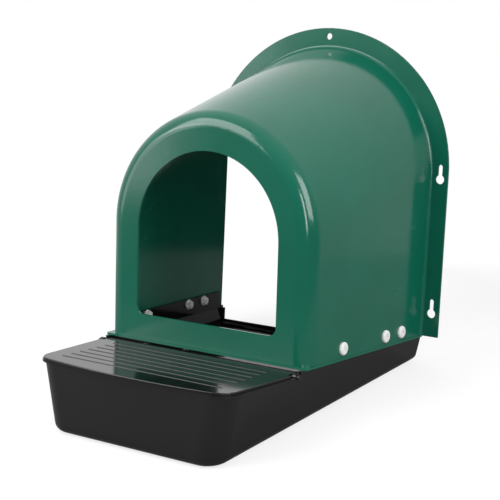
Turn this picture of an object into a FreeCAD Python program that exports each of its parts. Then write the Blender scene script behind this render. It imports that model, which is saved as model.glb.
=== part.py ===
import FreeCAD, Part
import math
import os
import Sketcher
from FreeCAD import Placement, Rotation, Vector

# A wall-hung roll-away nest: a moulded hood with a wall flange, a tray bolted inside it whose floor
# slopes down to an egg bin in front, and a hinged ribbed lid on the bin that is also the step.
#
# Sketches are dimensioned from the middle of the hood's bottom edge at the wall: X across, -Y out
# from the wall, Z up. Every sub-part is then lowered by the height of the middle of the four
# keyholes, so that the row's origin is the centre of that pattern on the wall.

DIMENSIONS = {
    # hood
    "hood_depth": (275, "wall to the foot of the front wall"),
    "hood_wall": (3, "moulded wall thickness"),
    "front_radius": (143, "half width and arch radius outside, at the front wall"),
    "front_spring": (141.0, "height where the front arch begins"),
    "back_radius": (159.5, "half width and arch radius outside, at the wall"),
    "back_spring": (214, "height where the arch begins at the wall"),
    "front_lean": (1.8, "degrees that the front wall leans forward"),
    "front_round": (21, "rounding between front wall and sides"),
    "entrance_radius": (100, "half width and arch radius of the entrance"),
    "entrance_spring": (138.5, "height of the entrance arch's centre"),
    "entrance_sill": (32.5, "height of the entrance sill"),
    "entrance_corner": (10, "rounding of the sill's corners"),
    "lip_front": (3.5, "how far the bottom lip stands out in front"),
    "lip_side": (1.5, "how far the bottom lip stands out at the sides"),
    "lip_thick": (2.5, "height of the bottom lip"),
    # wall flange and its holes
    "flange_radius": (183.5, "half width and arch radius of the flange"),
    "flange_spring": (215, "height where the flange's arch begins"),
    "flange_bottom": (2, "height of the flange's lower edge"),
    "flange_thick": (3, "flange thickness"),
    "flange_fillet": (4, "fillet between hood and flange"),
    "keyhole_across": (345, "keyhole to keyhole, left to right"),
    "keyhole_low": (32.5, "height of the lower keyholes"),
    "keyhole_high": (208, "height of the upper keyholes"),
    "keyhole_radius": (6, "round part of a keyhole"),
    "keyhole_neck": (3, "half the width of a keyhole's slot"),
    "keyhole_rise": (16, "round centre to the slot's top centre"),
    "top_hole_height": (387.5, "height of the top hole"),
    "top_hole_radius": (4.4, "top hole radius"),
    # tray
    "tray_wall": (2.5, "tray wall and floor thickness"),
    "tray_reach": (420.5, "wall to the tray's front, at the rim"),
    "tray_foot": (417, "wall to the tray's front, at the floor"),
    "tray_rim_front": (132, "half width at the rim, in front"),
    "tray_rim_back": (159, "half width at the rim, at the wall"),
    "tray_floor_front": (114.5, "half width at the floor, in front"),
    "tray_floor_back": (152.3, "half width at the floor, at the wall"),
    "tray_depth_back": (33.1, "depth below the hood's edge at the wall"),
    "tray_depth_front": (89.4, "depth below the hood's edge in front"),
    "tray_corner_rim": (27, "corner radius at the rim"),
    "tray_floor_round": (10, "rounding between floor and walls"),
    "bin_top": (5.3, "depth of the egg bin's rim below the hood's edge"),
    "bin_back": (284, "wall to the back of the bin's low rim"),
    "rim_width": (1.6, "how far the bin's rim stands out"),
    "rim_thick": (2.5, "thickness of the bin's rim"),
    "rim_gap_room": (1, "room round a hinge pin's head where the rim is cut away"),
    "ledge_thick": (2.7, "ledge that the hood stands on"),
    "upstand_top": (21, "height of the upstands inside the hood"),
    "upstand_end": (10, "wall to the back end of the upstands"),
    "upstand_front_gap": (1, "upstands' front end to the hood's front rounding"),
    "fit_gap": (0.3, "clearance between neighbouring parts"),
    "back_wall_top": (19.5, "depth of the low back wall's top edge"),
    # lid and hinge
    "lid_thick": (3, "lid plate thickness"),
    "lid_half_front": (130, "half width of the lid at its front corners"),
    "lid_half_back": (139.5, "half width of the lid at its notches"),
    "lid_reach": (418.5, "wall to the lid's front edge, at its corners"),
    "lid_bow": (12, "how much further the lid's middle reaches"),
    "lid_corner": (22, "corner radius of the lid"),
    "lid_tail": (14, "lid plate behind the hinge's axis"),
    "knuckle": (16, "length of each hinge knuckle"),
    "hinge_reach": (292, "wall to the hinge axis"),
    "hinge_depth": (5.2, "depth of the hinge axis below the hood's edge"),
    "barrel_radius": (3.2, "radius of the lid's hinge barrel"),
    "barrel_half": (133, "half length of the hinge barrel"),
    "notch_depth": (8.5, "lid notch in front of the hinge axis"),
    "rib_count": (7, "ribs on the lid"),
    "rib_pitch": (15.3, "rib to rib"),
    "rib_first": (307, "wall to the rib nearest the hinge"),
    "rib_half": (110, "half length of a rib"),
    "rib_radius": (1.2, "radius of a rib's round back"),
    "rib_height": (0.7, "how far a rib stands up"),
    "ear_inner": (135.5, "middle to an ear's inner face"),
    "ear_thick": (5, "ear thickness"),
    "ear_radius": (4.5, "radius of an ear's round top"),
    "pin_radius": (1.5, "hinge pin radius"),
    "pin_clearance": (0.06, "radial running clearance of pin in lid"),
    "pin_grip": (12, "length of pin inside the lid's barrel"),
    "pin_head_radius": (3.0, "hinge pin head radius"),
    "pin_head_thick": (3.5, "hinge pin head thickness"),
    "pin_head_round": (1.2, "rounding of a hinge pin's head"),
    "pin_end_room": (1, "room past the end of a pin in its bore"),
    # bolts and nuts
    "bolt_front": (199, "wall to the front bolt"),
    "bolt_middle": (97.5, "wall to the middle bolt"),
    "bolt_back": (57, "wall to the back bolt"),
    "bolt_height": (14, "height of the bolts"),
    "bolt_radius": (3, "bolt shank radius"),
    "bolt_hole_radius": (3.3, "bolt hole radius"),
    "bolt_head_radius": (8, "bolt head radius"),
    "bolt_head_thick": (3.5, "bolt head thickness"),
    "bolt_head_round": (2.4, "rounding of the bolt head"),
    "recess_length": (6, "cross recess, tip to tip"),
    "recess_width": (1.3, "cross recess, slot width"),
    "recess_depth": (1.4, "cross recess depth"),
    "nut_flange_radius": (6.8, "nut flange radius"),
    "nut_flange_thick": (1.6, "nut flange thickness"),
    "nut_hex_radius": (5.6, "nut hexagon, centre to corner"),
    "nut_thick": (5.5, "whole nut thickness"),
    "bolt_end": (1, "length of bolt past its nut"),
    "head_gap": (0.06, "heads and nuts stand this far off the walls, which are not quite flat"),
    # how far blocks and cutting shapes run past the real surfaces
    "overlap": (0.5, "joined blocks run into each other by this much"),
    "cut_margin": (5, "a cut runs past the material by this much"),
    "wall_allowance": (0.6, "extra where a wall slopes, so that it stays one wall thick"),
    "front_extra": (15, "hood block past its leaning front, which is then cut off"),
    "lean_below": (20, "how far below the hood's edge the leaning cut starts"),
    "lean_above": (300, "height of the top of the leaning cut"),
    "lean_length": (85, "length of the leaning cut, out from the wall"),
    "hollow_below": (10, "how far the hood's hollow runs below its edge"),
    "hollow_behind": (2, "how far the hood's hollow runs behind the wall's face"),
    "entrance_lead": (20, "the entrance's cut starts this far in front"),
    "entrance_cut": (50, "length of the entrance's cut"),
    "hinge_cut_outer": (160, "middle to the outside of the cuts beside the hinge"),
    "drill_length": (30, "length of the drill for a bolt hole"),
}

doc = FreeCAD.newDocument("nesting_box")
sheet = doc.addObject("Spreadsheet::Sheet", "sizes")
for row, (alias, (value, note)) in enumerate(DIMENSIONS.items(), start=1):
    sheet.set(f"A{row}", alias)
    sheet.set(f"B{row}", str(value))
    sheet.set(f"C{row}", note)
    sheet.setAlias(f"B{row}", alias)
doc.recompute()

SUB_PARTS = []
SIDES = {"left": -1, "right": 1}
BOLT_ROWS = ("front", "middle", "back")


def size(alias):
    """A driving dimension, read back from the sheet."""
    return float(sheet.get(alias))


# Expressions that several features share.
DROP = "(sizes.keyhole_low + sizes.keyhole_high) / 2"
SIDE_SLOPE = "(sizes.back_radius - sizes.front_radius) / sizes.hood_depth"
SPRING_SLOPE = "(sizes.back_spring - sizes.front_spring) / sizes.hood_depth"
FLOOR_SLOPE = "(sizes.tray_depth_front - sizes.tray_depth_back) / sizes.tray_foot"
RIM_SLOPE = "(sizes.tray_rim_back - sizes.tray_rim_front) / sizes.tray_reach"
FLOOR_TILT = f"atan({FLOOR_SLOPE})"
UPSTAND_OUTER = "sizes.back_radius - sizes.hood_wall - sizes.fit_gap"

side_slope = (size("back_radius") - size("front_radius")) / size("hood_depth")
lowered = Vector(0, 0, -(size("keyhole_low") + size("keyhole_high")) / 2)


def new_body(name):
    """A body on the row's axes, lowered so that the keyholes' centre is the origin."""
    body = doc.addObject("PartDesign::Body", name)
    body.Label = name
    body.setExpression("Placement.Base.z", f"-({DROP})")
    return body


def new_sketch(body, name, role, lift=None, tilt=None, across=None):
    """A sketch on one of the body's origin planes, lifted along its normal, tilted or moved across."""
    plane = next(item for item in body.Origin.OriginFeatures if item.Role == role)
    sketch = body.newObject("Sketcher::SketchObject", name)
    sketch.AttachmentSupport = [(plane, "")]
    sketch.MapMode = "FlatFace"
    if tilt is not None:
        sketch.AttachmentOffset = Placement(Vector(), Rotation(Vector(1, 0, 0), 1))
        sketch.setExpression("AttachmentOffset.Rotation.Angle", tilt)
    if lift is not None:
        sketch.setExpression("AttachmentOffset.Base.z", lift)
    if across is not None:
        sketch.setExpression("AttachmentOffset.Base.x", across)
    return sketch


def bind(sketch, kind, *where, name, value, start=10.0):
    """Adds a driving constraint and ties it to an expression on the sheet."""
    index = sketch.addConstraint(Sketcher.Constraint(kind, *where, start))
    sketch.renameConstraint(index, name)
    sketch.setExpression(f"Constraints.{name}", value)


def draw_arch(sketch, radius, spring, bottom, start=(100.0, 100.0, 0.0)):
    """Two legs, a half circle on top and a straight bottom, all driven from the sheet."""
    across, up, down = start
    corners = [
        Vector(-across, down, 0),
        Vector(across, down, 0),
        Vector(across, up, 0),
        Vector(-across, up, 0),
    ]
    sketch.addGeometry(Part.LineSegment(corners[0], corners[1]))
    sketch.addGeometry(Part.LineSegment(corners[1], corners[2]))
    sketch.addGeometry(Part.ArcOfCircle(Part.Circle(Vector(0, up, 0), Vector(0, 0, 1), across), 0, math.pi))
    sketch.addGeometry(Part.LineSegment(corners[3], corners[0]))
    for first, second in (((0, 2), (1, 1)), ((1, 2), (2, 1)), ((2, 2), (3, 1)), ((3, 2), (0, 1))):
        sketch.addConstraint(Sketcher.Constraint("Coincident", *first, *second))
    sketch.addConstraint(Sketcher.Constraint("Vertical", 1))
    sketch.addConstraint(Sketcher.Constraint("Vertical", 3))
    sketch.addConstraint(Sketcher.Constraint("Horizontal", 0))
    sketch.addConstraint(Sketcher.Constraint("PointOnObject", 2, 3, -2))
    sketch.addConstraint(Sketcher.Constraint("Horizontal", 2, 1, 2, 3))
    sketch.addConstraint(Sketcher.Constraint("Horizontal", 2, 2, 2, 3))
    bind(sketch, "Radius", 2, name="radius", value=radius, start=across)
    bind(sketch, "DistanceY", -1, 1, 2, 3, name="spring", value=spring, start=up)
    bind(sketch, "DistanceY", -1, 1, 0, 1, name="bottom", value=bottom, start=down)


def draw_trapezoid(sketch, front, back, half_front, half_back, start=(-300.0, 0.0, 100.0, 120.0)):
    """A symmetrical four-sided outline, wider at the wall than in front."""
    y_front, y_back, across_front, across_back = start
    corners = [
        Vector(-across_front, y_front, 0),
        Vector(across_front, y_front, 0),
        Vector(across_back, y_back, 0),
        Vector(-across_back, y_back, 0),
    ]
    for index in range(4):
        sketch.addGeometry(Part.LineSegment(corners[index], corners[(index + 1) % 4]))
    for index in range(4):
        sketch.addConstraint(Sketcher.Constraint("Coincident", index, 2, (index + 1) % 4, 1))
    sketch.addConstraint(Sketcher.Constraint("Symmetric", 0, 1, 0, 2, -2))
    sketch.addConstraint(Sketcher.Constraint("Symmetric", 2, 1, 2, 2, -2))
    bind(sketch, "DistanceY", 0, 1, -1, 1, name="front", value=front, start=-y_front)
    bind(sketch, "DistanceY", 2, 1, -1, 1, name="back", value=back, start=-y_back)
    width = f"2 * ({half_front})"
    bind(sketch, "DistanceX", 0, 1, 0, 2, name="width_front", value=width, start=2 * across_front)
    width = f"2 * ({half_back})"
    bind(sketch, "DistanceX", 2, 2, 2, 1, name="width_back", value=width, start=2 * across_back)


def draw_corner_box(sketch, side, inner, front, back):
    """A rectangle from an inner distance out past the rim, on one side, between two reaches."""
    outer = size("hinge_cut_outer")
    low, high = sorted((side * 130.0, side * outer))
    corners = [
        Vector(low, -300, 0),
        Vector(high, -300, 0),
        Vector(high, -280, 0),
        Vector(low, -280, 0),
    ]
    for index in range(4):
        sketch.addGeometry(Part.LineSegment(corners[index], corners[(index + 1) % 4]))
    for index in range(4):
        sketch.addConstraint(Sketcher.Constraint("Coincident", index, 2, (index + 1) % 4, 1))
    for index, kind in enumerate(("Horizontal", "Vertical", "Horizontal", "Vertical")):
        sketch.addConstraint(Sketcher.Constraint(kind, index))
    near = 1 if side > 0 else 2
    value = f"{side} * {inner}"
    bind(sketch, "DistanceX", -1, 1, 0, near, name="inner", value=value, start=side * 130.0)
    value = f"{side} * sizes.hinge_cut_outer"
    bind(sketch, "DistanceX", -1, 1, 0, 3 - near, name="outer", value=value, start=side * outer)
    bind(sketch, "DistanceY", 0, 1, -1, 1, name="front", value=front, start=300.0)
    bind(sketch, "DistanceY", 2, 1, -1, 1, name="back", value=back, start=280.0)


def draw_circles(sketch, centres, radius):
    """Equal circles, with centres given as pairs of expressions."""
    for index, (across, up) in enumerate(centres):
        place = 10.0 + 20 * index
        circle = Part.Circle(Vector(place, 10, 0), Vector(0, 0, 1), 4)
        sketch.addGeometry(circle)
        bind(sketch, "Radius", index, name=f"radius_{index}", value=radius, start=4.0)
        bind(sketch, "DistanceX", -1, 1, index, 3, name=f"across_{index}", value=across, start=place)
        bind(sketch, "DistanceY", -1, 1, index, 3, name=f"up_{index}", value=up, start=10.0)


def loft(body, name, first, second):
    """A ruled loft between two sections."""
    feature = body.newObject("PartDesign::AdditiveLoft", name)
    feature.Profile = first
    feature.Sections = [second]
    feature.Ruled = True
    feature.Refine = False
    doc.recompute()
    return feature


def pad(body, name, sketch, length, reverse=False, both_ways=False):
    """A pad of one sketch, with its length from the sheet."""
    feature = body.newObject("PartDesign::Pad", name)
    feature.Profile = sketch
    feature.Reversed = reverse
    feature.Midplane = both_ways
    feature.setExpression("Length", length)
    feature.Refine = False
    doc.recompute()
    return feature


def pocket(body, name, sketch, length, reverse=False, both_ways=False):
    """A pocket of one sketch, checked to have taken material away."""
    before = body.Shape.Volume
    feature = body.newObject("PartDesign::Pocket", name)
    feature.Profile = sketch
    feature.Reversed = reverse
    feature.Midplane = both_ways
    feature.setExpression("Length", length)
    feature.Refine = False
    doc.recompute()
    if not body.Shape.Volume < before - 1:
        raise RuntimeError(f"{name} cuts nothing")
    return feature


def fillet(body, name, radius, wanted):
    """A fillet on the edges of the body's last feature that the test accepts."""
    base = body.Tip
    edges = [f"Edge{index}" for index, edge in enumerate(base.Shape.Edges, start=1) if wanted(edge)]
    feature = body.newObject("PartDesign::Fillet", name)
    feature.Base = (base, edges)
    feature.Refine = False
    feature.setExpression("Radius", radius)
    doc.recompute()
    if feature.Shape.isNull() or not feature.Shape.isValid():
        raise RuntimeError(f"{name} failed on {len(edges)} edges")
    return feature


def middle(edge):
    """The point halfway along an edge."""
    return edge.valueAt((edge.FirstParameter + edge.LastParameter) / 2)


def spans(edge, axis):
    """How far an edge runs along one axis: 0, 1 or 2 for X, Y or Z."""
    box = edge.BoundBox
    return (box.XLength, box.YLength, box.ZLength)[axis]


def primitive(kind, name, **values):
    """A Part primitive or boolean whose properties are numbers, links or expressions in text."""
    item = doc.addObject(f"Part::{kind}", name)
    for key, value in values.items():
        if isinstance(value, str):
            item.setExpression(key, value)
        else:
            setattr(item, key, value)
    doc.recompute()
    return item


def finished(item, label):
    """Names a sub-part and puts it on the list that is checked and written."""
    item.Label = label
    SUB_PARTS.append(item)
    return item


# ---- Bolt places, shared by the hood, the tray, the bolts and the nuts ---------------------------


def side_normal(side):
    """The outward direction of a side wall, which turns a little towards the front."""
    return Vector(side, -side_slope, 0).normalize()


def on_side(side, row, inward):
    """A placement on a bolt's axis, a distance inward of the hood's side, with Z pointing out."""
    reach = size(f"bolt_{row}")
    point = Vector(side * (size("back_radius") - side_slope * reach), -reach, size("bolt_height"))
    normal = side_normal(side)
    return Placement(point - normal * inward + lowered, Rotation(Vector(0, 0, 1), normal))


def make_bolt_holes(owner):
    """Six drills, one on each bolt's axis, through the hood's side and the tray's upstand."""
    drills = []
    for side_name, side in SIDES.items():
        for row in BOLT_ROWS:
            drill = primitive(
                "Cylinder",
                f"{owner}_drill_{row}_{side_name}",
                Radius="sizes.bolt_hole_radius",
                Height="sizes.drill_length",
            )
            drill.Placement = on_side(side, row, size("drill_length") / 2)
            drills.append(drill)
    return drills


# ---- Hood ---------------------------------------------------------------------------------------


def hood_section(body, name, lift, radius, spring, bottom):
    """One arched section of the hood, at a distance from the wall."""
    sketch = new_sketch(body, name, "XZ_Plane", lift=lift)
    draw_arch(sketch, radius, spring, bottom)
    return sketch


def lean_front(body, name, reach):
    """Cuts the front end off along a plane that leans forward at the top."""
    sketch = new_sketch(body, f"{name}_outline", "YZ_Plane")
    low, high, far = -20.0, 300.0, -360.0
    corners = [Vector(-275, low, 0), Vector(-285, high, 0), Vector(far, high, 0), Vector(far, low, 0)]
    for index in range(4):
        sketch.addGeometry(Part.LineSegment(corners[index], corners[(index + 1) % 4]))
    for index in range(4):
        sketch.addConstraint(Sketcher.Constraint("Coincident", index, 2, (index + 1) % 4, 1))
    for index, kind in ((1, "Horizontal"), (2, "Vertical"), (3, "Horizontal")):
        sketch.addConstraint(Sketcher.Constraint(kind, index))
    places = (
        (1, f"({reach}) - sizes.lean_below * tan(sizes.front_lean)", "sizes.lean_below"),
        (2, f"({reach}) + sizes.lean_above * tan(sizes.front_lean)", "-sizes.lean_above"),
    )
    for point, along, down in places:
        bind(sketch, "DistanceX", 0, point, -1, 1, name=f"along_{point}", value=along, start=280.0)
        bind(sketch, "DistanceY", 0, point, -1, 1, name=f"down_{point}", value=down, start=10.0)
    value = "sizes.hood_depth + sizes.lean_length"
    bind(sketch, "DistanceX", 2, 1, -1, 1, name="far", value=value, start=360.0)
    pocket(body, name, sketch, "4 * sizes.back_radius", both_ways=True)


def make_hood_shell():
    """The hood's outside: lofted arch, lip, flange, entrance, keyholes and the top hole."""
    shell = new_body("hood_shell")
    depth = size("hood_depth")
    front = hood_section(
        shell,
        "hood_front",
        "sizes.hood_depth + sizes.front_extra",
        f"sizes.front_radius - sizes.front_extra * ({SIDE_SLOPE})",
        f"sizes.front_spring - sizes.front_extra * ({SPRING_SLOPE})",
        "0",
    )
    back = hood_section(shell, "hood_back", "0", "sizes.back_radius", "sizes.back_spring", "0")
    loft(shell, "hood_block", back, front)
    lean_front(shell, "hood_lean", "sizes.hood_depth")
    fillet(
        shell,
        "hood_front_rounding",
        "sizes.front_round",
        lambda edge: middle(edge).y < -depth + 0.1 and middle(edge).z > 1,
    )

    lip = new_sketch(shell, "lip_outline", "XY_Plane")
    draw_trapezoid(
        lip,
        "sizes.hood_depth + sizes.lip_front",
        "0",
        "sizes.front_radius + sizes.lip_side",
        "sizes.back_radius + sizes.lip_side",
    )
    pad(shell, "bottom_lip", lip, "sizes.lip_thick")
    fillet(
        shell,
        "lip_corners",
        "sizes.lip_front",
        lambda edge: spans(edge, 2) > 2 and spans(edge, 0) < 0.1 and middle(edge).y < -depth - 1,
    )

    flange = new_sketch(shell, "flange_outline", "XZ_Plane")
    draw_arch(flange, "sizes.flange_radius", "sizes.flange_spring", "sizes.flange_bottom")
    pad(shell, "wall_flange", flange, "sizes.flange_thick")
    flange_front = -size("flange_thick")

    def at_junction(edge):
        """True for the inside corner where the hood meets the flange."""
        point = middle(edge)
        reach = max(abs(point.x), point.z - size("back_spring"))
        flat = spans(edge, 1) < 0.01 and abs(point.y - flange_front) < 0.01
        return flat and reach < size("back_radius") + 1 and point.z > 5

    fillet(shell, "flange_fillet", "sizes.flange_fillet", at_junction)

    lead = "sizes.hood_depth + sizes.entrance_lead"
    entrance = new_sketch(shell, "entrance_outline", "XZ_Plane", lift=lead)
    draw_arch(
        entrance,
        "sizes.entrance_radius",
        "sizes.entrance_spring",
        "sizes.entrance_sill",
        start=(90.0, 120.0, 30.0),
    )
    pocket(shell, "entrance", entrance, "sizes.entrance_cut")
    cut_inside = size("entrance_cut") - size("entrance_lead")
    fillet(
        shell,
        "entrance_corners",
        "sizes.entrance_corner",
        lambda edge: abs(spans(edge, 1) - cut_inside) < 2
        and abs(abs(middle(edge).x) - size("entrance_radius")) < 0.1
        and abs(middle(edge).z - size("entrance_sill")) < 0.1,
    )

    half = "sizes.keyhole_across / 2"
    levels = ("sizes.keyhole_low", "sizes.keyhole_high")
    centres = [(f"{sign}{half}", level) for sign in ("-", "") for level in levels]
    rounds = new_sketch(shell, "keyhole_rounds", "XZ_Plane")
    draw_circles(rounds, centres, "sizes.keyhole_radius")
    pocket(shell, "keyhole_rounds_cut", rounds, "2.5 * sizes.flange_thick", both_ways=True)
    for index, (across, up) in enumerate(centres):
        slot = new_sketch(shell, f"keyhole_slot_{index}", "XZ_Plane", across=across)
        draw_arch(slot, "sizes.keyhole_neck", f"{up} + sizes.keyhole_rise", up, start=(3.0, 50.0, 30.0))
        pocket(shell, f"keyhole_slot_cut_{index}", slot, "2.5 * sizes.flange_thick", both_ways=True)
    top_hole = new_sketch(shell, "top_hole_outline", "XZ_Plane")
    draw_circles(top_hole, [("0", "sizes.top_hole_height")], "sizes.top_hole_radius")
    pocket(shell, "top_hole", top_hole, "2.5 * sizes.flange_thick", both_ways=True)
    return shell


def make_hood_hollow():
    """The space inside the hood, one wall behind its front, open at the bottom and the back."""
    hollow = new_body("hood_hollow")
    front = hood_section(
        hollow,
        "hollow_front",
        "sizes.hood_depth + sizes.front_extra",
        f"sizes.front_radius - sizes.front_extra * ({SIDE_SLOPE}) - sizes.hood_wall",
        f"sizes.front_spring - sizes.front_extra * ({SPRING_SLOPE})",
        "-sizes.hollow_below",
    )
    back = hood_section(
        hollow,
        "hollow_back",
        "-sizes.hollow_behind",
        f"sizes.back_radius + sizes.hollow_behind * ({SIDE_SLOPE}) - sizes.hood_wall",
        f"sizes.back_spring + sizes.hollow_behind * ({SPRING_SLOPE})",
        "-sizes.hollow_below",
    )
    loft(hollow, "hollow_block", back, front)
    lean_front(hollow, "hollow_lean", "sizes.hood_depth - sizes.hood_wall")
    fillet(
        hollow,
        "hollow_front_rounding",
        "sizes.front_round - sizes.hood_wall",
        lambda edge: middle(edge).y < -size("hood_depth") + size("hood_wall") + 1 and middle(edge).z > 1,
    )
    return hollow


def make_hood():
    """The hood: its outside, less the hollow and the bolt holes."""
    tools = [make_hood_hollow()] + make_bolt_holes("hood")
    tool = primitive("MultiFuse", "hood_cuts", Shapes=tools)
    finished(primitive("Cut", "hood", Base=make_hood_shell(), Tool=tool), "hood")


# ---- Tray ---------------------------------------------------------------------------------------


def tray_section(body, name, height, front, back, half_front, half_back, tilted):
    """One four-sided section of the tray, level, or tilted with the floor."""
    tilt = FLOOR_TILT if tilted else None
    sketch = new_sketch(body, name, "XY_Plane", lift=height, tilt=tilt)
    along = f" / cos({FLOOR_TILT})" if tilted else ""
    draw_trapezoid(sketch, f"({front}){along}", f"({back}){along}", half_front, half_back)
    return sketch


def round_tray(body, name, corner, floor_round, floor_depth):
    """Rounds a tray block's two upright front corners and then its floor edges."""
    reach = size("tray_foot") - 30

    def upright_front(edge):
        point = middle(edge)
        return point.y < -reach and spans(edge, 2) > 20 and abs(point.x) > 50

    fillet(body, f"{name}_corners", corner, upright_front)
    slope = (size("tray_depth_front") - size("tray_depth_back")) / size("tray_foot")

    def at_floor(edge):
        point = middle(edge)
        return abs(point.z + floor_depth - slope * point.y) < 1.0

    fillet(body, f"{name}_floor_round", floor_round, at_floor)


def make_tray_block():
    """The tray's outside, with the bin's rim, the upstands and the hinge ears, all still solid."""
    block = new_body("tray_block")
    top = tray_section(
        block,
        "tray_top",
        "0",
        "sizes.tray_reach",
        "0",
        "sizes.tray_rim_front",
        "sizes.tray_rim_back",
        False,
    )
    floor = tray_section(
        block,
        "tray_floor",
        "-sizes.tray_depth_back",
        "sizes.tray_foot",
        "0",
        "sizes.tray_floor_front",
        "sizes.tray_floor_back",
        True,
    )
    loft(block, "tray_loft", top, floor)
    depth = size("tray_depth_back")
    round_tray(block, "tray", "sizes.tray_corner_rim", "sizes.tray_floor_round", depth)

    bin_cut = new_sketch(block, "bin_cut_outline", "XY_Plane", lift="-sizes.bin_top")
    draw_trapezoid(
        bin_cut,
        "sizes.tray_reach + sizes.cut_margin",
        "sizes.bin_back",
        "sizes.hinge_cut_outer",
        "sizes.hinge_cut_outer",
        start=(-400.0, -250.0, 200.0, 200.0),
    )
    pocket(block, "bin_cut", bin_cut, "sizes.bin_top + sizes.cut_margin", reverse=True)

    rim = new_sketch(block, "rim_outline", "XY_Plane", lift="-sizes.bin_top - sizes.rim_thick")
    draw_trapezoid(
        rim,
        "sizes.tray_reach + sizes.rim_width",
        "sizes.bin_back",
        "sizes.tray_rim_front + sizes.rim_width",
        f"sizes.tray_rim_back - sizes.bin_back * ({RIM_SLOPE}) + sizes.rim_width",
        start=(-400.0, -250.0, 130.0, 140.0),
    )
    pad(block, "rim", rim, "sizes.rim_thick")
    fillet(
        block,
        "rim_corners",
        "sizes.tray_corner_rim",
        lambda edge: abs(spans(edge, 2) - size("rim_thick")) < 0.01
        and spans(edge, 0) < 0.01
        and middle(edge).y < -size("tray_foot"),
    )

    upstand = new_sketch(block, "upstand_outline", "XY_Plane")
    round_start = "sizes.hood_depth - sizes.hood_wall - sizes.front_round"
    upstand_front = f"({round_start} - sizes.upstand_front_gap)"
    draw_trapezoid(
        upstand,
        upstand_front,
        "sizes.upstand_end",
        f"{UPSTAND_OUTER} - {upstand_front} * ({SIDE_SLOPE})",
        f"{UPSTAND_OUTER} - sizes.upstand_end * ({SIDE_SLOPE})",
        start=(-250.0, -10.0, 100.0, 120.0),
    )
    pad(block, "upstands", upstand, "sizes.upstand_top")

    for side_name, side in SIDES.items():
        inner = "sizes.ear_inner" if side > 0 else "-(sizes.ear_inner + sizes.ear_thick)"
        ear = new_sketch(
            block,
            f"ear_outline_{side_name}",
            "YZ_Plane",
            lift=inner,
            across="-sizes.hinge_reach",
        )
        draw_arch(
            ear,
            "sizes.ear_radius",
            "-sizes.hinge_depth",
            "-sizes.bin_top - sizes.rim_thick",
            start=(5.0, -3.0, -8.0),
        )
        pad(block, f"ear_{side_name}", ear, "sizes.ear_thick")
        half_gap = "(sizes.pin_head_radius + sizes.rim_gap_room)"
        gap = new_sketch(
            block,
            f"rim_gap_outline_{side_name}",
            "XY_Plane",
            lift="-sizes.hinge_depth - sizes.pin_head_radius - sizes.rim_gap_room",
        )
        draw_corner_box(
            gap,
            side,
            "(sizes.ear_inner + sizes.ear_thick)",
            f"sizes.hinge_reach + {half_gap}",
            f"sizes.hinge_reach - {half_gap}",
        )
        pocket(block, f"rim_gap_{side_name}", gap, f"2 * {half_gap}", reverse=True)
    pin_hole = new_sketch(block, "pin_hole_outline", "YZ_Plane")
    draw_circles(pin_hole, [("-sizes.hinge_reach", "-sizes.hinge_depth")], "sizes.pin_radius")
    pocket(block, "pin_holes", pin_hole, "4 * sizes.ear_inner", both_ways=True)
    return block


def make_tray_hollow():
    """The space inside the tray: the sloping trough, the gap between the upstands and the low back."""
    hollow = new_body("tray_hollow")
    wall = "sizes.tray_wall"
    trough_top = tray_section(
        hollow,
        "trough_top",
        "-sizes.ledge_thick",
        f"sizes.tray_reach - {wall} - sizes.wall_allowance",
        wall,
        f"sizes.tray_rim_front - {wall} - sizes.wall_allowance",
        f"sizes.tray_rim_back - {wall} - sizes.wall_allowance",
        False,
    )
    trough_floor = tray_section(
        hollow,
        "trough_floor",
        f"-sizes.tray_depth_back + {wall}",
        f"sizes.tray_foot - {wall} + sizes.wall_allowance",
        wall,
        f"sizes.tray_floor_front - {wall} + sizes.wall_allowance",
        f"sizes.tray_floor_back - {wall} + sizes.wall_allowance",
        True,
    )
    loft(hollow, "trough", trough_top, trough_floor)
    floor_depth = size("tray_depth_back") - size("tray_wall")
    round_tray(
        hollow,
        "trough",
        f"sizes.tray_corner_rim - {wall}",
        f"sizes.tray_floor_round - {wall}",
        floor_depth,
    )

    lift = "-sizes.ledge_thick - sizes.overlap"
    between = new_sketch(hollow, "between_upstands", "XY_Plane", lift=lift)
    between_front = "(sizes.bin_back + sizes.cut_margin)"
    draw_trapezoid(
        between,
        between_front,
        "-sizes.overlap",
        f"{UPSTAND_OUTER} - {wall} - {between_front} * ({SIDE_SLOPE})",
        f"{UPSTAND_OUTER} - {wall}",
        start=(-280.0, 10.0, 100.0, 120.0),
    )
    height = "sizes.upstand_top + sizes.ledge_thick + sizes.cut_margin"
    pad(hollow, "between_upstands_block", between, height)

    back = new_sketch(hollow, "low_back_outline", "XY_Plane", lift="-sizes.back_wall_top")
    draw_trapezoid(
        back,
        "sizes.upstand_end",
        "-sizes.overlap",
        f"sizes.tray_floor_back - {wall}",
        f"sizes.tray_floor_back - {wall}",
        start=(-20.0, 10.0, 100.0, 100.0),
    )
    pad(hollow, "low_back_block", back, "sizes.back_wall_top + sizes.cut_margin")
    return hollow


def make_tray():
    """The tray: its outside, less the hollow and the bolt holes."""
    tools = [make_tray_hollow()] + make_bolt_holes("tray")
    tool = primitive("MultiFuse", "tray_cuts", Shapes=tools)
    finished(primitive("Cut", "tray", Base=make_tray_block(), Tool=tool), "tray")


# ---- Lid ----------------------------------------------------------------------------------------


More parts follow.
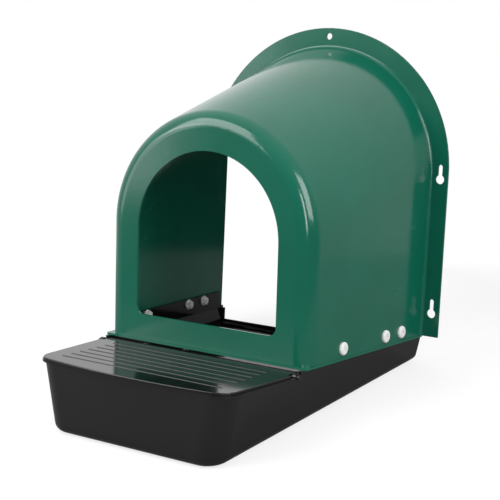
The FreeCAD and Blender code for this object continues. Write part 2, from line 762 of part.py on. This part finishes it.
def draw_lid(sketch):
    """The lid's plan: straight back and sides, and a front edge bowed outward."""
    points = [
        Vector(-140, -285, 0),
        Vector(140, -285, 0),
        Vector(130, -418, 0),
        Vector(-130, -418, 0),
    ]
    sketch.addGeometry(Part.LineSegment(points[1], points[0]))
    sketch.addGeometry(Part.LineSegment(points[0], points[3]))
    sketch.addGeometry(Part.Arc(points[3], Vector(0, -430, 0), points[2]))
    sketch.addGeometry(Part.LineSegment(points[2], points[1]))
    sketch.addConstraint(Sketcher.Constraint("Coincident", 0, 2, 1, 1))
    sketch.addConstraint(Sketcher.Constraint("Coincident", 3, 2, 0, 1))
    ends = (2, 1) if sketch.getPoint(2, 1).x < 0 else (2, 2)
    other = (2, 2) if ends == (2, 1) else (2, 1)
    sketch.addConstraint(Sketcher.Constraint("Coincident", 1, 2, *ends))
    sketch.addConstraint(Sketcher.Constraint("Coincident", 3, 1, *other))
    sketch.addConstraint(Sketcher.Constraint("Symmetric", 0, 1, 0, 2, -2))
    sketch.addConstraint(Sketcher.Constraint("Symmetric", 2, 1, 2, 2, -2))
    back = "sizes.hinge_reach - sizes.lid_tail"
    bind(sketch, "DistanceY", 0, 1, -1, 1, name="back", value=back, start=285.0)
    width = "2 * sizes.lid_half_back"
    bind(sketch, "DistanceX", 0, 2, 0, 1, name="half_back", value=width, start=280.0)
    bind(sketch, "DistanceY", 3, 1, -1, 1, name="front", value="sizes.lid_reach", start=418.0)
    width = "2 * sizes.lid_half_front"
    bind(sketch, "DistanceX", 1, 2, 3, 1, name="half_front", value=width, start=262.0)
    bow = "(sizes.lid_half_front ^ 2 + sizes.lid_bow ^ 2) / (2 * sizes.lid_bow)"
    bind(sketch, "Radius", 2, name="bow", value=bow, start=666.0)


def make_lid():
    """The egg bin's lid: a bowed plate with raised ribs and a hinge barrel along its back."""
    lid = new_body("egg_lid")
    plan = new_sketch(lid, "lid_outline", "XY_Plane", lift="-sizes.bin_top + sizes.fit_gap")
    draw_lid(plan)
    pad(lid, "plate", plan, "sizes.lid_thick")
    plate_top = -size("bin_top") + size("fit_gap") + size("lid_thick")
    fillet(
        lid,
        "plate_corners",
        "sizes.lid_corner",
        lambda edge: spans(edge, 2) > 2
        and spans(edge, 0) < 0.01
        and middle(edge).y < 1 - size("lid_reach"),
    )
    for side_name, side in SIDES.items():
        notch = new_sketch(lid, f"notch_outline_{side_name}", "XY_Plane")
        draw_corner_box(
            notch,
            side,
            "sizes.barrel_half",
            "sizes.hinge_reach + sizes.notch_depth",
            "sizes.hinge_reach - sizes.lid_tail - sizes.cut_margin",
        )
        height = "4 * (sizes.hinge_depth + sizes.barrel_radius)"
        pocket(lid, f"notch_{side_name}", notch, height, both_ways=True)
    fillet(
        lid,
        "plate_edge",
        "sizes.lid_thick / 3",
        lambda edge: abs(middle(edge).z - plate_top) < 0.01
        and middle(edge).y < -size("hinge_reach") - 1,
    )

    axis_place = [("-sizes.hinge_reach", "-sizes.hinge_depth")]
    for side_name, side in SIDES.items():
        lift = f"{side} * sizes.barrel_half"
        knuckle = new_sketch(lid, f"knuckle_outline_{side_name}", "YZ_Plane", lift=lift)
        draw_circles(knuckle, axis_place, "sizes.barrel_radius")
        pad(lid, f"knuckle_{side_name}", knuckle, "sizes.knuckle", reverse=side > 0)
        bore = new_sketch(lid, f"pin_bore_outline_{side_name}", "YZ_Plane", lift=lift)
        draw_circles(bore, axis_place, "sizes.pin_radius + sizes.pin_clearance")
        bore_depth = "sizes.pin_grip + sizes.pin_end_room"
        pocket(lid, f"pin_bore_{side_name}", bore, bore_depth, reverse=side < 0)

    rib = new_sketch(lid, "rib_outline", "YZ_Plane")
    plate_height = "-sizes.bin_top + sizes.fit_gap + sizes.lid_thick"
    rib_centre = f"{plate_height} + sizes.rib_height - sizes.rib_radius"
    draw_circles(rib, [("-sizes.rib_first", rib_centre)], "sizes.rib_radius")
    first_rib = pad(lid, "rib", rib, "2 * sizes.rib_half", both_ways=True)
    ribs = lid.newObject("PartDesign::LinearPattern", "ribs")
    ribs.Originals = [first_rib]
    y_axis = next(item for item in lid.Origin.OriginFeatures if item.Role == "Y_Axis")
    ribs.Direction = (y_axis, [""])
    ribs.Reversed = True
    ribs.setExpression("Length", "sizes.rib_pitch * (sizes.rib_count - 1)")
    ribs.setExpression("Occurrences", "sizes.rib_count")
    lid.Tip = ribs
    doc.recompute()
    finished(lid, "egg_lid")


# ---- Hinge pins, bolts and nuts -----------------------------------------------------------------


def rounded_head(name, radius, thick, rounding):
    """A round head from 0 up, with its outer edge rounded."""
    head = primitive("Cylinder", f"{name}_head", Radius=radius, Height=thick)
    top = size(thick.split(".")[-1])
    number = next(
        index
        for index, edge in enumerate(head.Shape.Edges, start=1)
        if edge.Curve.TypeId == "Part::GeomCircle" and abs(edge.BoundBox.ZMin - top) < 0.01
    )
    rounded = doc.addObject("Part::Fillet", f"{name}_head_round")
    rounded.Base = head
    rounded.Edges = [(number, rounding, rounding)]
    doc.recompute()
    return rounded


def make_pin(side_name, side):
    """One hinge pin: a round head outside its ear and a shank that runs in the lid's barrel."""
    name = f"hinge_pin_{side_name}"
    rounding = size("pin_head_round")
    head = rounded_head(name, "sizes.pin_head_radius", "sizes.pin_head_thick", rounding)
    length = "sizes.ear_inner + sizes.ear_thick - sizes.barrel_half + sizes.pin_grip"
    height = f"{length} + sizes.overlap"
    shank = primitive("Cylinder", f"{name}_shank", Radius="sizes.pin_radius", Height=height)
    shank.setExpression("Placement.Base.z", f"-({length})")
    pin = primitive("Fuse", name, Base=head, Tool=shank)
    ear_outer = size("ear_inner") + size("ear_thick")
    seat = Vector(side * ear_outer, -size("hinge_reach"), -size("hinge_depth"))
    pin.Placement = Placement(seat + lowered, Rotation(Vector(0, 0, 1), Vector(side, 0, 0)))
    finished(pin, name)


def make_bolt(side_name, side, row):
    """One bolt: a low round head with a cross recess outside the hood, and its shank."""
    name = f"bolt_{row}_{side_name}"
    rounding = size("bolt_head_round")
    head = rounded_head(name, "sizes.bolt_head_radius", "sizes.bolt_head_thick", rounding)
    walls = "sizes.hood_wall + sizes.fit_gap + sizes.tray_wall"
    length = f"{walls} + sizes.nut_thick + sizes.bolt_end"
    height = f"{length} + sizes.overlap"
    shank = primitive("Cylinder", f"{name}_shank", Radius="sizes.bolt_radius", Height=height)
    shank.setExpression("Placement.Base.z", f"-({length})")
    blank = primitive("Fuse", f"{name}_blank", Base=head, Tool=shank)
    slots = []
    for index, (long_side, short_side) in enumerate((("Length", "Width"), ("Width", "Length"))):
        values = {
            long_side: "sizes.recess_length",
            short_side: "sizes.recess_width",
            "Height": "sizes.recess_depth + sizes.overlap",
        }
        slot = primitive("Box", f"{name}_recess_{index}", **values)
        along, sideways = ("x", "y") if index == 0 else ("y", "x")
        slot.setExpression(f"Placement.Base.{along}", "-sizes.recess_length / 2")
        slot.setExpression(f"Placement.Base.{sideways}", "-sizes.recess_width / 2")
        slot.setExpression("Placement.Base.z", "sizes.bolt_head_thick - sizes.recess_depth")
        slots.append(slot)
    recess = primitive("MultiFuse", f"{name}_recess", Shapes=slots)
    bolt = primitive("Cut", name, Base=blank, Tool=recess)
    bolt.Placement = on_side(side, row, -size("head_gap"))
    finished(bolt, name)


def make_nut(side_name, side, row):
    """One flanged nut inside the tray's upstand."""
    name = f"nut_{row}_{side_name}"
    flange = primitive(
        "Cylinder",
        f"{name}_flange",
        Radius="sizes.nut_flange_radius",
        Height="sizes.nut_flange_thick",
    )
    hexagon = primitive(
        "Prism",
        f"{name}_hexagon",
        Circumradius="sizes.nut_hex_radius",
        Height="sizes.nut_thick",
    )
    blank = primitive("Fuse", f"{name}_blank", Base=flange, Tool=hexagon)
    height = "sizes.nut_thick + 2 * sizes.overlap"
    thread = primitive("Cylinder", f"{name}_thread", Radius="sizes.bolt_radius", Height=height)
    thread.Placement.Base = Vector(0, 0, -size("overlap"))
    nut = primitive("Cut", name, Base=blank, Tool=thread)
    inward = size("hood_wall") + size("fit_gap") + size("tray_wall") + size("head_gap")
    place = on_side(side, row, inward)
    nut.Placement = Placement(place.Base, place.Rotation * Rotation(Vector(1, 0, 0), 180))
    finished(nut, name)


make_hood()
make_tray()
make_lid()
for side_name, side in SIDES.items():
    make_pin(side_name, side)
    for row in BOLT_ROWS:
        make_bolt(side_name, side, row)
        make_nut(side_name, side, row)

doc.recompute()
for item in doc.Objects:
    if "Invalid" in item.State or "Error" in item.State:
        raise RuntimeError(f"{item.Label} did not recompute: {item.State}")
for item in SUB_PARTS:
    if item.Shape.isNull() or not item.Shape.isValid():
        raise RuntimeError(f"{item.Label} has no valid shape")
    if len(item.Shape.Solids) != 1:
        raise RuntimeError(f"{item.Label} holds {len(item.Shape.Solids)} solids")

os.makedirs("parts", exist_ok=True)
for item in SUB_PARTS:
    item.Shape.exportStep(f"parts/{item.Label}.step")
    box = item.Shape.BoundBox
    across = f"x {box.XMin:.1f}..{box.XMax:.1f}"
    along = f"y {box.YMin:.1f}..{box.YMax:.1f}"
    height = f"z {box.ZMin:.1f}..{box.ZMax:.1f}"
    print(f"{item.Label:22s} volume {item.Shape.Volume / 1000:9.2f} cm3  {across}  {along}  {height}")
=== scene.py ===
# %% [markdown]
# # A wall-hung nesting box in Blender
#
# The object is a nest for laying hens: a deep green plastic hood with an arched door, a black
# tray that slopes forward so that eggs roll out, a ribbed black lid over the egg bin, and white
# plastic bolts that hold hood and tray together. The solid shapes come ready from a CAD model.
# This lesson gives them their surfaces, then sets up a plain studio round them.

import math

import bpy
from mathutils import Matrix, Vector


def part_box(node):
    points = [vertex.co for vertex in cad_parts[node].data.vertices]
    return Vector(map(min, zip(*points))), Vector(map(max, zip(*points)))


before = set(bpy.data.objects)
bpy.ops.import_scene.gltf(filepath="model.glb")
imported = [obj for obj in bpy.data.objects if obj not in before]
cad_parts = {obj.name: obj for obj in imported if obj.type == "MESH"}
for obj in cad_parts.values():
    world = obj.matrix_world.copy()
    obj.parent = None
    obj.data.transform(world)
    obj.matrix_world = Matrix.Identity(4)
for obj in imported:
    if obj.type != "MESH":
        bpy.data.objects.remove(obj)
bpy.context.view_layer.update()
print("pieces:", len(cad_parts))

# %% [markdown]
# ## Writing shader maths as plain expressions
#
# A material in Blender is a graph of nodes, and wiring one node at a time soon hides the idea
# behind it. A small class that wraps one socket lets us write `1 - mask` or `noise * 0.2`, and
# Python adds the Math node for each operator. Every other node comes from the `node` method.

# %% A wrapper for one shader socket
class Wire:
    """One output socket of a shader graph, with arithmetic that adds Math nodes."""

    def __init__(self, tree, socket=None):
        self.tree = tree
        self.socket = socket

    def node(self, kind, settings=None, output=0, **values):
        """Adds a node: its settings first, then a value or a link for each named socket."""
        made = self.tree.nodes.new(kind)
        for name, value in (settings or {}).items():
            setattr(made, name, value)
        for name, value in values.items():
            place = int(name[1:]) if name[0] == "_" else name.replace("_", " ")
            socket = made.inputs[place]
            if isinstance(value, Wire):
                self.tree.links.new(value.socket, socket)
            else:
                socket.default_value = value
        return Wire(self.tree, made.outputs[output])

    def maths(self, operation, first, second=0.0):
        return self.node("ShaderNodeMath", {"operation": operation}, _0=first, _1=second)

    def __add__(self, other):
        return self.maths("ADD", self, other)

    def __radd__(self, other):
        return self.maths("ADD", other, self)

    def __sub__(self, other):
        return self.maths("SUBTRACT", self, other)

    def __rsub__(self, other):
        return self.maths("SUBTRACT", other, self)

    def __mul__(self, other):
        return self.maths("MULTIPLY", self, other)


print("operators ready:", [name for name in vars(Wire) if name.startswith("__")][:4], "...")

# %% [markdown]
# ## Noise, ranges and colour mixes
#
# Moulded plastic is never quite even. Most of its character comes from three things that noise
# can draw: slow drifts of gloss, a very fine grain, and thin scratches. All of them are measured
# in metres on the object, so they stay the right size whatever the piece is.

# %% Helpers that the finishes share
def noise(wire, place, scale, detail=3.0, roughness=0.5, stretch=None):
    """Noise between 0 and 1 over the object's own coordinates, with `scale` bumps per metre."""
    if stretch is not None:
        place = wire.node("ShaderNodeVectorMath", {"operation": "MULTIPLY"}, _0=place, _1=stretch)
    return wire.node(
        "ShaderNodeTexNoise", Vector=place, Scale=scale, Detail=detail, Roughness=roughness
    )


def ramped(wire, value, low, high, bottom=0.0, top=1.0):
    """Stretches the part of a value between low and high out to bottom..top, and clamps it."""
    return wire.node(
        "ShaderNodeMapRange", Value=value, From_Min=low, From_Max=high, To_Min=bottom, To_Max=top
    )


def blended(wire, factor, first, second):
    """A colour between two colours."""
    return wire.node(
        "ShaderNodeMix", {"data_type": "RGBA"}, output=2, _0=factor, _6=first, _7=second
    )


def bumped(wire, relief, strength, distance):
    """A normal that follows a relief, at most `distance` metres high."""
    return wire.node("ShaderNodeBump", Strength=strength, Distance=distance, Height=relief)


def new_finish(name):
    """An empty material with one Principled shader; returns it with its wires."""
    material = bpy.data.materials.new(name)
    material.use_nodes = True
    tree = material.node_tree
    shader = next(item for item in tree.nodes if item.type == "BSDF_PRINCIPLED")
    wire = Wire(tree)
    place = wire.node("ShaderNodeTexCoord", output=3)
    return material, shader, wire, place


def plug(shader, **values):
    """Sets or links the shader's own sockets."""
    for name, value in values.items():
        socket = shader.inputs[name.replace("_", " ")]
        if isinstance(value, Wire):
            value.tree.links.new(value.socket, socket)
        else:
            socket.default_value = value


print("helpers ready")

# %% [markdown]
# ## The hood's green plastic
#
# The hood is one vacuum-formed shell of deep blue-green plastic with a high gloss. Its colour is
# almost even, a little deeper in some places where the sheet was stretched more. Light shows the
# faint ripple that such sheets have, and handling leaves fine scratches that run every way.

# %% Glossy green sheet
def fine_scratches(wire, place, directions, width=0.012):
    """Thin lines where a stretched noise passes its middle value, in a few directions."""
    lines = None
    for index, stretch in enumerate(directions):
        field = noise(wire, place, 60.0 + 17.0 * index, detail=0.0, stretch=stretch)
        near = wire.maths("ABSOLUTE", field - 0.5)
        line = ramped(wire, near, 0.0, width, 1.0, 0.0)
        lines = line if lines is None else wire.maths("MAXIMUM", lines, line)
    return lines


def make_hood_green():
    material, shader, wire, place = new_finish("hood_green")
    drift = noise(wire, place, 7.0, detail=2.0)
    cloud = noise(wire, place, 45.0, detail=4.0)
    ripple = noise(wire, place, 130.0, detail=2.0)
    grain = noise(wire, place, 2600.0, detail=2.0)
    gate = ramped(wire, noise(wire, place, 16.0, detail=3.0), 0.50, 0.68)
    scratch = fine_scratches(wire, place, ((4.0, 0.10, 0.25), (0.30, 0.12, 4.0))) * gate
    height = wire.node("ShaderNodeSeparateXYZ", Vector=place, output=2)
    handled = ramped(wire, height + cloud * 0.02, -0.105, -0.075, 1.0, 0.0)
    thin = ramped(wire, drift + cloud * 0.25, 0.45, 0.85)
    colour = blended(wire, thin, (0.0025, 0.100, 0.060, 1.0), (0.0040, 0.118, 0.073, 1.0))
    colour = blended(wire, scratch * 0.04, colour, (0.10, 0.30, 0.24, 1.0))
    gloss = 0.11 + drift * 0.03 + cloud * 0.02 + grain * 0.012 + scratch * 0.16 + handled * 0.05
    relief = ripple * 0.55 + cloud * 0.45 + grain * 0.03 - scratch * 0.06
    bump = bumped(wire, relief, 0.10, 0.0006)
    plug(shader, Base_Color=colour, Roughness=gloss, Normal=bump, IOR=1.5)
    return material


hood_green = make_hood_green()
print(hood_green.name, "nodes:", len(hood_green.node_tree.nodes))

# %% [markdown]
# ## The tray's black plastic
#
# The tray is made of thicker black plastic, as glossy as the hood. Black hides its colour and
# shows only reflections, so its detail is nearly all in the gloss: long faint draw marks down the
# walls, small scuffs low down where it stands, and a trace of dust on surfaces that face up.

# %% Glossy black tray plastic
def facing_up(wire, low=0.6, high=0.98):
    """1 on surfaces that face up, 0 on walls and undersides."""
    normal = wire.node("ShaderNodeNewGeometry", output=1)
    return ramped(wire, wire.node("ShaderNodeSeparateXYZ", Vector=normal, output=2), low, high)


def make_tray_black():
    material, shader, wire, place = new_finish("tray_black")
    drift = noise(wire, place, 9.0, detail=2.0)
    cloud = noise(wire, place, 50.0, detail=4.0)
    draw = noise(wire, place, 150.0, detail=2.0, stretch=(1.0, 1.0, 0.10))
    grain = noise(wire, place, 2200.0, detail=2.0)
    gate = ramped(wire, noise(wire, place, 20.0, detail=3.0), 0.48, 0.66)
    scratch = fine_scratches(wire, place, ((0.3, 0.15, 4.0), (4.0, 4.0, 0.12))) * gate
    height = wire.node("ShaderNodeSeparateXYZ", Vector=place, output=2)
    scuff = ramped(wire, cloud - height * 1.5, 0.78, 0.92)
    dust = facing_up(wire) * ramped(wire, cloud, 0.35, 0.75)
    colour = blended(wire, drift, (0.0045, 0.0042, 0.0042, 1.0), (0.0080, 0.0075, 0.0075, 1.0))
    colour = blended(wire, scratch * 0.04 + dust * 0.03, colour, (0.16, 0.155, 0.15, 1.0))
    gloss = 0.09 + drift * 0.03 + cloud * 0.03 + scratch * 0.10 + scuff * 0.08 + dust * 0.06
    relief = draw * 0.5 + cloud * 0.5 + grain * 0.04 - scratch * 0.06
    bump = bumped(wire, relief, 0.08, 0.0006)
    plug(shader, Base_Color=colour, Roughness=gloss, Normal=bump, IOR=1.5)
    return material


tray_black = make_tray_black()
print(tray_black.name, "nodes:", len(tray_black.node_tree.nodes))

# %% [markdown]
# ## The lid's black plastic
#
# Hens step on the lid, so its top is the most worn surface. The ribs run from side to side, and
# feet slide along the way in, so the wear lies across the ribs. Between them the plate keeps a
# slightly satin, pebbled skin that stops it from being slippery.

# %% Trodden lid plastic
def make_lid_black():
    material, shader, wire, place = new_finish("lid_black")
    drift = noise(wire, place, 11.0, detail=2.0)
    cloud = noise(wire, place, 60.0, detail=4.0)
    pebble = wire.node("ShaderNodeTexVoronoi", {"feature": "F1"}, Vector=place, Scale=900.0)
    gate = ramped(wire, noise(wire, place, 24.0, detail=3.0), 0.44, 0.64)
    scratch = fine_scratches(wire, place, ((4.0, 0.12, 1.0), (3.0, 0.30, 1.0)), width=0.010) * gate
    up = facing_up(wire)
    dust = up * ramped(wire, cloud, 0.35, 0.75)
    colour = blended(wire, drift, (0.0035, 0.0033, 0.0033, 1.0), (0.0065, 0.0060, 0.0060, 1.0))
    colour = blended(wire, scratch * up * 0.05 + dust * 0.01, colour, (0.17, 0.165, 0.16, 1.0))
    gloss = 0.08 + drift * 0.03 + cloud * 0.02 + scratch * 0.10 + dust * 0.03
    relief = cloud * 0.5 + pebble * up * 0.10 - scratch * 0.08
    bump = bumped(wire, relief, 0.08, 0.0005)
    plug(shader, Base_Color=colour, Roughness=gloss, Normal=bump, IOR=1.5)
    return material


lid_black = make_lid_black()
print(lid_black.name, "nodes:", len(lid_black.node_tree.nodes))

# %% [markdown]
# ## Small parts: hinge pins and white bolts
#
# The hinge pins are plain black plastic with a dull, drawn surface. The bolts and nuts are moulded
# in white nylon, which is a little milky and satin, and greyer where a driver has rubbed it.

# %% Dull black pins
def make_pin_black():
    material, shader, wire, place = new_finish("pin_black")
    cloud = noise(wire, place, 300.0, detail=3.0)
    grain = noise(wire, place, 3000.0, detail=2.0)
    colour = blended(wire, cloud, (0.006, 0.006, 0.006, 1.0), (0.018, 0.017, 0.017, 1.0))
    bump = bumped(wire, grain + cloud, 0.2, 0.0002)
    plug(shader, Base_Color=colour, Roughness=0.32 + cloud * 0.15, Normal=bump, IOR=1.5)
    return material


pin_black = make_pin_black()
print(pin_black.name)


# %% White nylon
def make_nylon_white():
    material, shader, wire, place = new_finish("nylon_white")
    cloud = noise(wire, place, 260.0, detail=4.0)
    grain = noise(wire, place, 2400.0, detail=2.0)
    scratch = fine_scratches(wire, place, ((9.0, 1.5, 2.0), (2.0, 9.0, 6.0)), width=0.02)
    colour = blended(wire, cloud, (0.86, 0.86, 0.84, 1.0), (0.74, 0.745, 0.73, 1.0))
    rubbed = scratch * ramped(wire, cloud, 0.5, 0.7) * 0.5
    colour = blended(wire, rubbed, colour, (0.45, 0.46, 0.45, 1.0))
    bump = bumped(wire, cloud + grain * 0.2, 0.2, 0.0003)
    plug(shader, Base_Color=colour, Roughness=0.30 + cloud * 0.15 + scratch * 0.1, Normal=bump)
    return material


nylon_white = make_nylon_white()
print(nylon_white.name)

# %% [markdown]
# ## Putting the finishes on the pieces
#
# The solid pieces keep their CAD shapes, because every edge and hole is already where it should
# be. Each only swaps the plain material it came with for one of the finishes above.

# %% Finishes on the solid pieces
FINISHES = {"hood": hood_green, "tray": tray_black, "egg_lid": lid_black}


def finish_for(name):
    """The finish of a piece, from its own name or its family's."""
    if name in FINISHES:
        return FINISHES[name]
    return pin_black if name.startswith("hinge_pin") else nylon_white


for name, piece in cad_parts.items():
    for slot in piece.material_slots:
        slot.material = finish_for(name)
print("finished:", {name: finish_for(name).name for name in ("hood", "tray", "egg_lid")})

# %% [markdown]
# ## A floor that fades into the background
#
# The nest stands on its tray, whose underside slopes, so the floor is laid along that slope: then
# the contact shadow is right. It is a matt white disc. To the camera it also glows, mostly in the
# middle and fully at its rim, so that it has no visible edge and the shadow stays faint.
# Reflections see a greyer floor, or the black tray would look washed out.

# %% The floor disc
TRAY_EDGE = -0.12025  # height of the hood's bottom edge, which the tray's depths start from
DEPTH_FRONT = 0.0894
DEPTH_BACK = 0.0331
TRAY_FOOT = 0.417  # from the wall to the tray's front
TRAY_SLOPE = math.atan((DEPTH_FRONT - DEPTH_BACK) / TRAY_FOOT)
FLOOR_GAP = 0.0008
FLOOR_RADIUS = 0.85
FADE_START, FADE_END = 0.40, 0.95  # parts of the radius between which the glow becomes full
MIDDLE_GLOW = 0.72
MIRRORED_GREY = (0.22, 0.22, 0.22, 1.0)
tray_low, tray_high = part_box("tray")


def make_floor():
    bpy.ops.mesh.primitive_circle_add(vertices=96, radius=FLOOR_RADIUS, fill_type="NGON")
    floor = bpy.context.object
    floor.name = "floor"
    floor.rotation_euler = (TRAY_SLOPE, 0.0, 0.0)
    middle = (tray_low.y + tray_high.y) / 2
    underside = TRAY_EDGE - DEPTH_BACK + middle * math.tan(TRAY_SLOPE)
    floor.location = (0.0, middle, underside - FLOOR_GAP)
    material, shader, wire, place = new_finish("floor_white")
    distance = wire.node("ShaderNodeVectorMath", {"operation": "LENGTH"}, output=1, _0=place)
    rim = ramped(wire, distance, FADE_START * FLOOR_RADIUS, FADE_END * FLOOR_RADIUS)
    paper = noise(wire, place, 900.0, detail=2.0)
    seen = wire.node("ShaderNodeLightPath", output=0)
    white = blended(wire, paper, (0.93, 0.93, 0.93, 1.0), (0.97, 0.97, 0.97, 1.0))
    plug(shader, Base_Color=blended(wire, seen, MIRRORED_GREY, white), Roughness=0.9)
    lit = wire.maths("MAXIMUM", rim, MIDDLE_GLOW) * seen
    glow = wire.node("ShaderNodeEmission", Color=(1.0, 1.0, 1.0, 1.0), Strength=1.0)
    matt = Wire(wire.tree, shader.outputs[0])
    surface = wire.node("ShaderNodeMixShader", _0=lit, _1=matt, _2=glow)
    out = next(item for item in wire.tree.nodes if item.type == "OUTPUT_MATERIAL")
    wire.tree.links.new(surface.socket, out.inputs["Surface"])
    floor.data.materials.append(material)
    return floor


floor = make_floor()
print("floor at", [round(value, 4) for value in floor.location])

# %% [markdown]
# ## Studio light
#
# Glossy plastic shows the room it stands in. The room is bright overhead and behind the nest on
# its left, and darker on the camera's side, so the surroundings fade from white to grey.
# The camera itself sees plain white. Two large soft boxes light the front and the right side, and a
# dimmer one stands low on the left. A narrow one lights the inside through the entrance, and a
# black card behind the open back keeps the inside of the hood deep and dark.

# %% Surroundings, soft boxes and the black card
BRIGHT_WAY = Vector((-0.45, 0.45, 0.77)).normalized()
ROOM_GREY, ROOM_WHITE = 0.18, 1.05
LIT_POINT = Vector((0.0, -0.15, 0.05))
# name: (way to the light, its distance, width, height, radiance)
SOFT_BOXES = {
    "key_box": ((-0.50, -0.78, 0.50), 2.4, 1.5, 1.5, 5.2),
    "low_box": ((-0.74, -0.67, 0.10), 2.2, 1.0, 1.0, 2.6),
    "side_box": ((0.88, -0.30, 0.42), 2.2, 1.1, 1.3, 6.5),
    "fill_box": ((0.66, -0.74, 0.16), 2.6, 0.35, 1.1, 10.5),
}
CARD_PLACE = (0.13, 0.36, 0.02)
CARD_WIDTH, CARD_HEIGHT = 0.36, 0.72
CARD_TURN = -30.0  # degrees from facing the nest's back


def make_surroundings():
    world = bpy.data.worlds.new("studio")
    bpy.context.scene.world = world
    world.use_nodes = True
    tree = world.node_tree
    tree.nodes.clear()
    wire = Wire(tree)
    way = wire.node("ShaderNodeTexCoord", output=0)
    towards = wire.node(
        "ShaderNodeVectorMath", {"operation": "DOT_PRODUCT"}, output=1, _0=way, _1=tuple(BRIGHT_WAY)
    )
    level = ramped(wire, towards, -0.35, 0.85, ROOM_GREY, ROOM_WHITE)
    seen = wire.node("ShaderNodeLightPath", output=0)
    strength = level * (1 - seen) + seen
    glow = wire.node("ShaderNodeBackground", Color=(1.0, 1.0, 1.0, 1.0), Strength=strength)
    out = tree.nodes.new("ShaderNodeOutputWorld")
    tree.links.new(glow.socket, out.inputs["Surface"])


def soft_box(name, way, distance, width, height, radiance):
    """A rectangular light that faces the nest from a direction, as bright as `radiance`."""
    data = bpy.data.lights.new(name, "AREA")
    data.shape = "RECTANGLE"
    data.size = width
    data.size_y = height
    data.energy = radiance * math.pi * width * height
    light = bpy.data.objects.new(name, data)
    bpy.context.collection.objects.link(light)
    way = Vector(way).normalized()
    light.location = LIT_POINT + way * distance
    light.rotation_euler = way.to_track_quat("Z", "Y").to_euler()
    light.visible_camera = False
    return light


def make_black_card():
    """A black card behind the nest that only reflections and soft light can see."""
    bpy.ops.mesh.primitive_plane_add(size=1.0, location=CARD_PLACE)
    card = bpy.context.object
    card.name = "black_card"
    card.scale = (CARD_WIDTH, CARD_HEIGHT, 1.0)
    card.rotation_euler = (math.radians(90.0), 0.0, math.radians(CARD_TURN))
    card.visible_camera = False
    card.visible_shadow = False
    material, shader, wire, place = new_finish("card_black")
    felt = noise(wire, place, 60.0)
    colour = blended(wire, felt, (0.002, 0.002, 0.002, 1.0), (0.006, 0.006, 0.006, 1.0))
    plug(shader, Base_Color=colour, Roughness=1.0)
    card.data.materials.append(material)
    return card


make_surroundings()
for name, values in SOFT_BOXES.items():
    soft_box(name, *values)
make_black_card()

# %% [markdown]
# ## The camera
#
# The nest is seen from its front right, a little above, with a long lens that keeps its sides
# nearly parallel. The camera faces a point inside the hood and is then moved a little left and
# down, without turning, to place the nest in the frame. It is also rolled by a few degrees,
# because the nest stands on a slope.

# %% The camera
CAMERA = {
    "azimuth": 32.0,
    "elevation": 7.6,
    "roll": 2.6,
    "distance": 1.5103,
    "across": -0.0302,
    "up": -0.0410,
}
CAMERA_TARGET = Vector((0.0, -0.1255, 0.02975))
LENS = 84.83
SENSOR_WIDTH = 36.0


def make_camera():
    azimuth = math.radians(CAMERA["azimuth"])
    elevation = math.radians(CAMERA["elevation"])
    roll = math.radians(CAMERA["roll"])
    level = math.cos(elevation)
    front = -math.cos(azimuth) * level
    back = Vector((math.sin(azimuth) * level, front, math.sin(elevation)))
    side = Vector((math.cos(azimuth), math.sin(azimuth), 0.0))
    up = back.cross(side)
    right = math.cos(roll) * side + math.sin(roll) * up
    above = math.cos(roll) * up - math.sin(roll) * side
    place = CAMERA_TARGET + back * CAMERA["distance"]
    place = place + right * CAMERA["across"] + above * CAMERA["up"]
    data = bpy.data.cameras.new("camera")
    data.sensor_width = SENSOR_WIDTH
    data.lens = LENS
    camera = bpy.data.objects.new("camera", data)
    bpy.context.collection.objects.link(camera)
    turned = Matrix((right, above, back)).transposed().to_4x4()
    camera.matrix_world = Matrix.Translation(place) @ turned
    bpy.context.scene.camera = camera
    return camera


camera = make_camera()
bpy.context.scene.view_settings.view_transform = "Standard"
print("camera at", [round(value, 3) for value in camera.location])

# %% [markdown]
